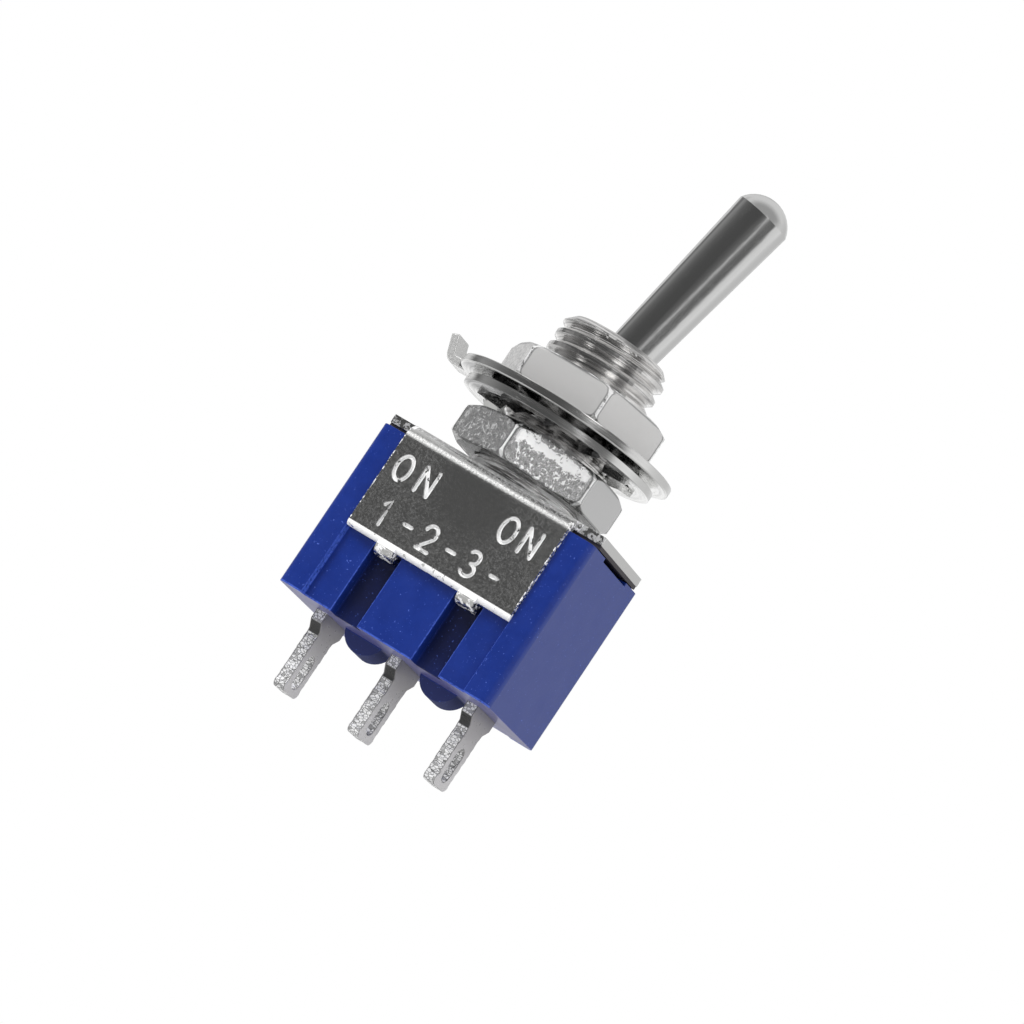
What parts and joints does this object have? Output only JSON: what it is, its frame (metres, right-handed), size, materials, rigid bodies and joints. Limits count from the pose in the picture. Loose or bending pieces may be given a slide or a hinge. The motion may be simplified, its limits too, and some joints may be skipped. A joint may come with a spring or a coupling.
{
  "type": "panel toggle switch",
  "caption": "Miniature toggle switch: a tilting metal lever in a threaded bushing with nuts and washers, on a boxed case with a row of solder lugs.",
  "frame": {"origin": "the middle of the metal frame's top face, on the bushing's axis", "axes": "+Z out of the panel along the bushing, +X along the row of terminals towards the side that the lever leans to at rest, +Y through the case's depth, away from the pictured side"},
  "size_m": [0.0141, 0.012, 0.0332],
  "materials": {
    "blue_moulding": "semi-gloss moulded plastic",
    "frame_steel": "bright nickel plating on pressed sheet steel",
    "insulator": "brown insulating sheet",
    "bushing_nickel": "bright nickel plating on turned brass",
    "lever_chrome": "polished plating on turned brass",
    "pin_steel": "ground steel",
    "plunger_plastic": "natural moulded plastic",
    "spring_steel": "spring wire",
    "rocker_brass": "rolled brass strip",
    "contact_silver": "silver contact buttons",
    "terminal_plate": "silver-plated stamped brass",
    "nut_nickel": "bright nickel plating on turned brass",
    "washer_nickel": "bright nickel plating on pressed steel"
  },
  "bodies": {
    "base": {"case": "blue_moulding", "cover_frame": "frame_steel", "insulator_sheet": "insulator", "bushing": "bushing_nickel", "contact_left": "contact_silver", "contact_right": "contact_silver", "terminal_left": "terminal_plate", "terminal_centre": "terminal_plate", "terminal_right": "terminal_plate", "locating_washer": "washer_nickel", "lock_washer": "washer_nickel"},
    "lever": {"lever": "lever_chrome", "pivot_pin": "pin_steel", "plunger_spring": "spring_steel"},
    "plunger": {"plunger": "plunger_plastic"},
    "rocker": {"rocker_contact": "rocker_brass", "rocker_pad_left": "contact_silver", "rocker_pad_right": "contact_silver"},
    "lower_nut": {"lower_nut": "nut_nickel"},
    "upper_nut": {"upper_nut": "nut_nickel"}
  },
  "joints": [
    {"name": "lever_tilt", "type": "hinge", "parent": "base", "child": "lever", "pos_m": [0, 0, 0.0053], "axis": [0, 1, 0], "range_deg": [-23, 0]},
    {"name": "plunger_slide", "type": "slide", "parent": "lever", "child": "plunger", "axis": [0.1994, 0, 0.9799], "range_m": [0, 0.0004], "stiffness_N_per_m": 400, "deforming": ["plunger_spring"]},
    {"name": "rocker_tilt", "type": "hinge", "parent": "base", "child": "rocker", "pos_m": [0, 0, -0.00634], "axis": [0, 1, 0], "range_deg": [0, 12]},
    {"name": "lower_nut_spin", "type": "hinge", "parent": "base", "child": "lower_nut", "pos_m": [0, 0, 0], "axis": [0, 0, 1], "continuous": true},
    {"name": "upper_nut_spin", "type": "hinge", "parent": "base", "child": "upper_nut", "pos_m": [0, 0, 0], "axis": [0, 0, 1], "continuous": true}
  ],
  "couplings": [
    {"joint": "rocker_tilt", "follows": "lever_tilt", "ratio": -0.5217}
  ]
}
